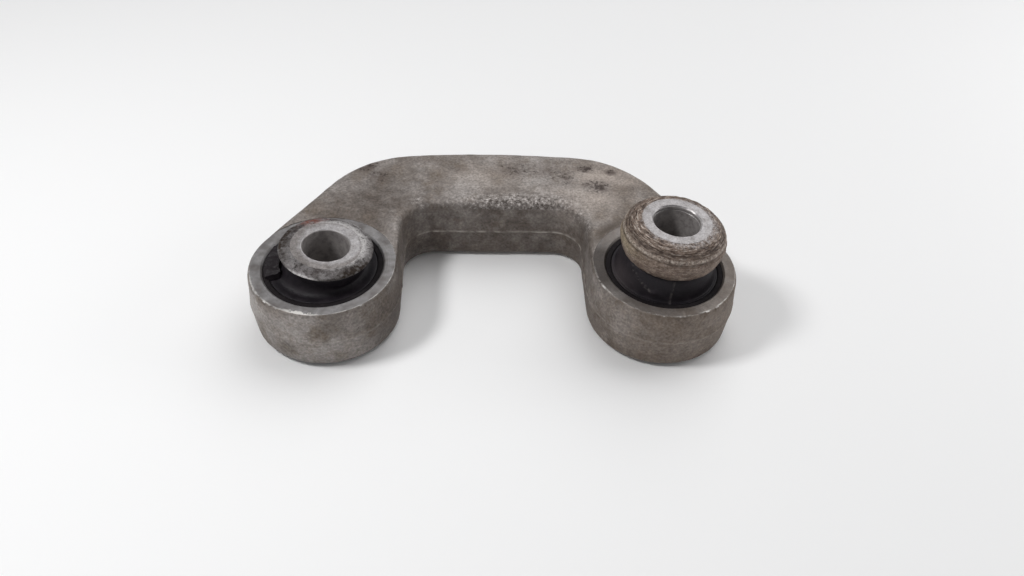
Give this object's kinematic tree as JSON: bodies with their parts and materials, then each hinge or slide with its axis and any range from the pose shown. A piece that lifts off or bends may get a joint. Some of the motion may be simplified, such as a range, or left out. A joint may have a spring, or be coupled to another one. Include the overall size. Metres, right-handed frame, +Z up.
{
  "type": "stabilizer link",
  "caption": "U-shaped forged stabilizer link with a bonded rubber bush in each eye, one with a low stop collar and one with a tall grooved spacer collar, for bolts.",
  "frame": {"origin": "middle of the short bush: on its bolt axis, halfway up the eye", "axes": "+X from the short eye to the tall eye, +Y from the eyes to the bridge, +Z up through the eyes, to the side that the collars stand on"},
  "size_m": [0.1126, 0.0615, 0.03],
  "materials": {
    "forged_aluminium": "sandblasted forging, dull with road dirt",
    "shell_steel": "black coated",
    "bush_rubber": "moulded, satin",
    "sleeve_steel": "turned, worn bright at the ends",
    "collar_steel": "dull, pitted",
    "rusty_collar_steel": "dusty with brown rust"
  },
  "bodies": {
    "link": {"link_body": "forged_aluminium", "short_bush_shell": "shell_steel", "tall_bush_shell": "shell_steel"},
    "short_rubber": {"short_bush_rubber": "bush_rubber"},
    "short_sleeve": {"short_inner_sleeve": "sleeve_steel", "short_stop_collar": "collar_steel"},
    "tall_rubber": {"tall_bush_rubber": "bush_rubber"},
    "tall_sleeve": {"tall_inner_sleeve": "sleeve_steel", "tall_spacer_collar": "rusty_collar_steel"}
  },
  "joints": [
    {"name": "short_bush_tilt", "type": "hinge", "parent": "link", "child": "short_rubber", "pos_m": [0, 0, 0], "axis": [0, 1, 0], "range_deg": [-13.5, 2.5], "stiffness_Nm_per_rad": 65, "deforming": ["short_bush_rubber"]},
    {"name": "short_bush_twist", "type": "hinge", "parent": "short_rubber", "child": "short_sleeve", "pos_m": [0, 0, 0], "axis": [0.0958, 0, 0.9954], "range_deg": [-20, 20], "stiffness_Nm_per_rad": 20},
    {"name": "tall_bush_tilt", "type": "hinge", "parent": "link", "child": "tall_rubber", "pos_m": [0.078, 0, 0], "axis": [0, 1, 0], "range_deg": [-10, 6], "stiffness_Nm_per_rad": 65, "deforming": ["tall_bush_rubber"]},
    {"name": "tall_bush_twist", "type": "hinge", "parent": "tall_rubber", "child": "tall_sleeve", "pos_m": [0.078, 0, 0], "axis": [0.0349, 0, 0.9994], "range_deg": [-20, 20], "stiffness_Nm_per_rad": 20}
  ]
}
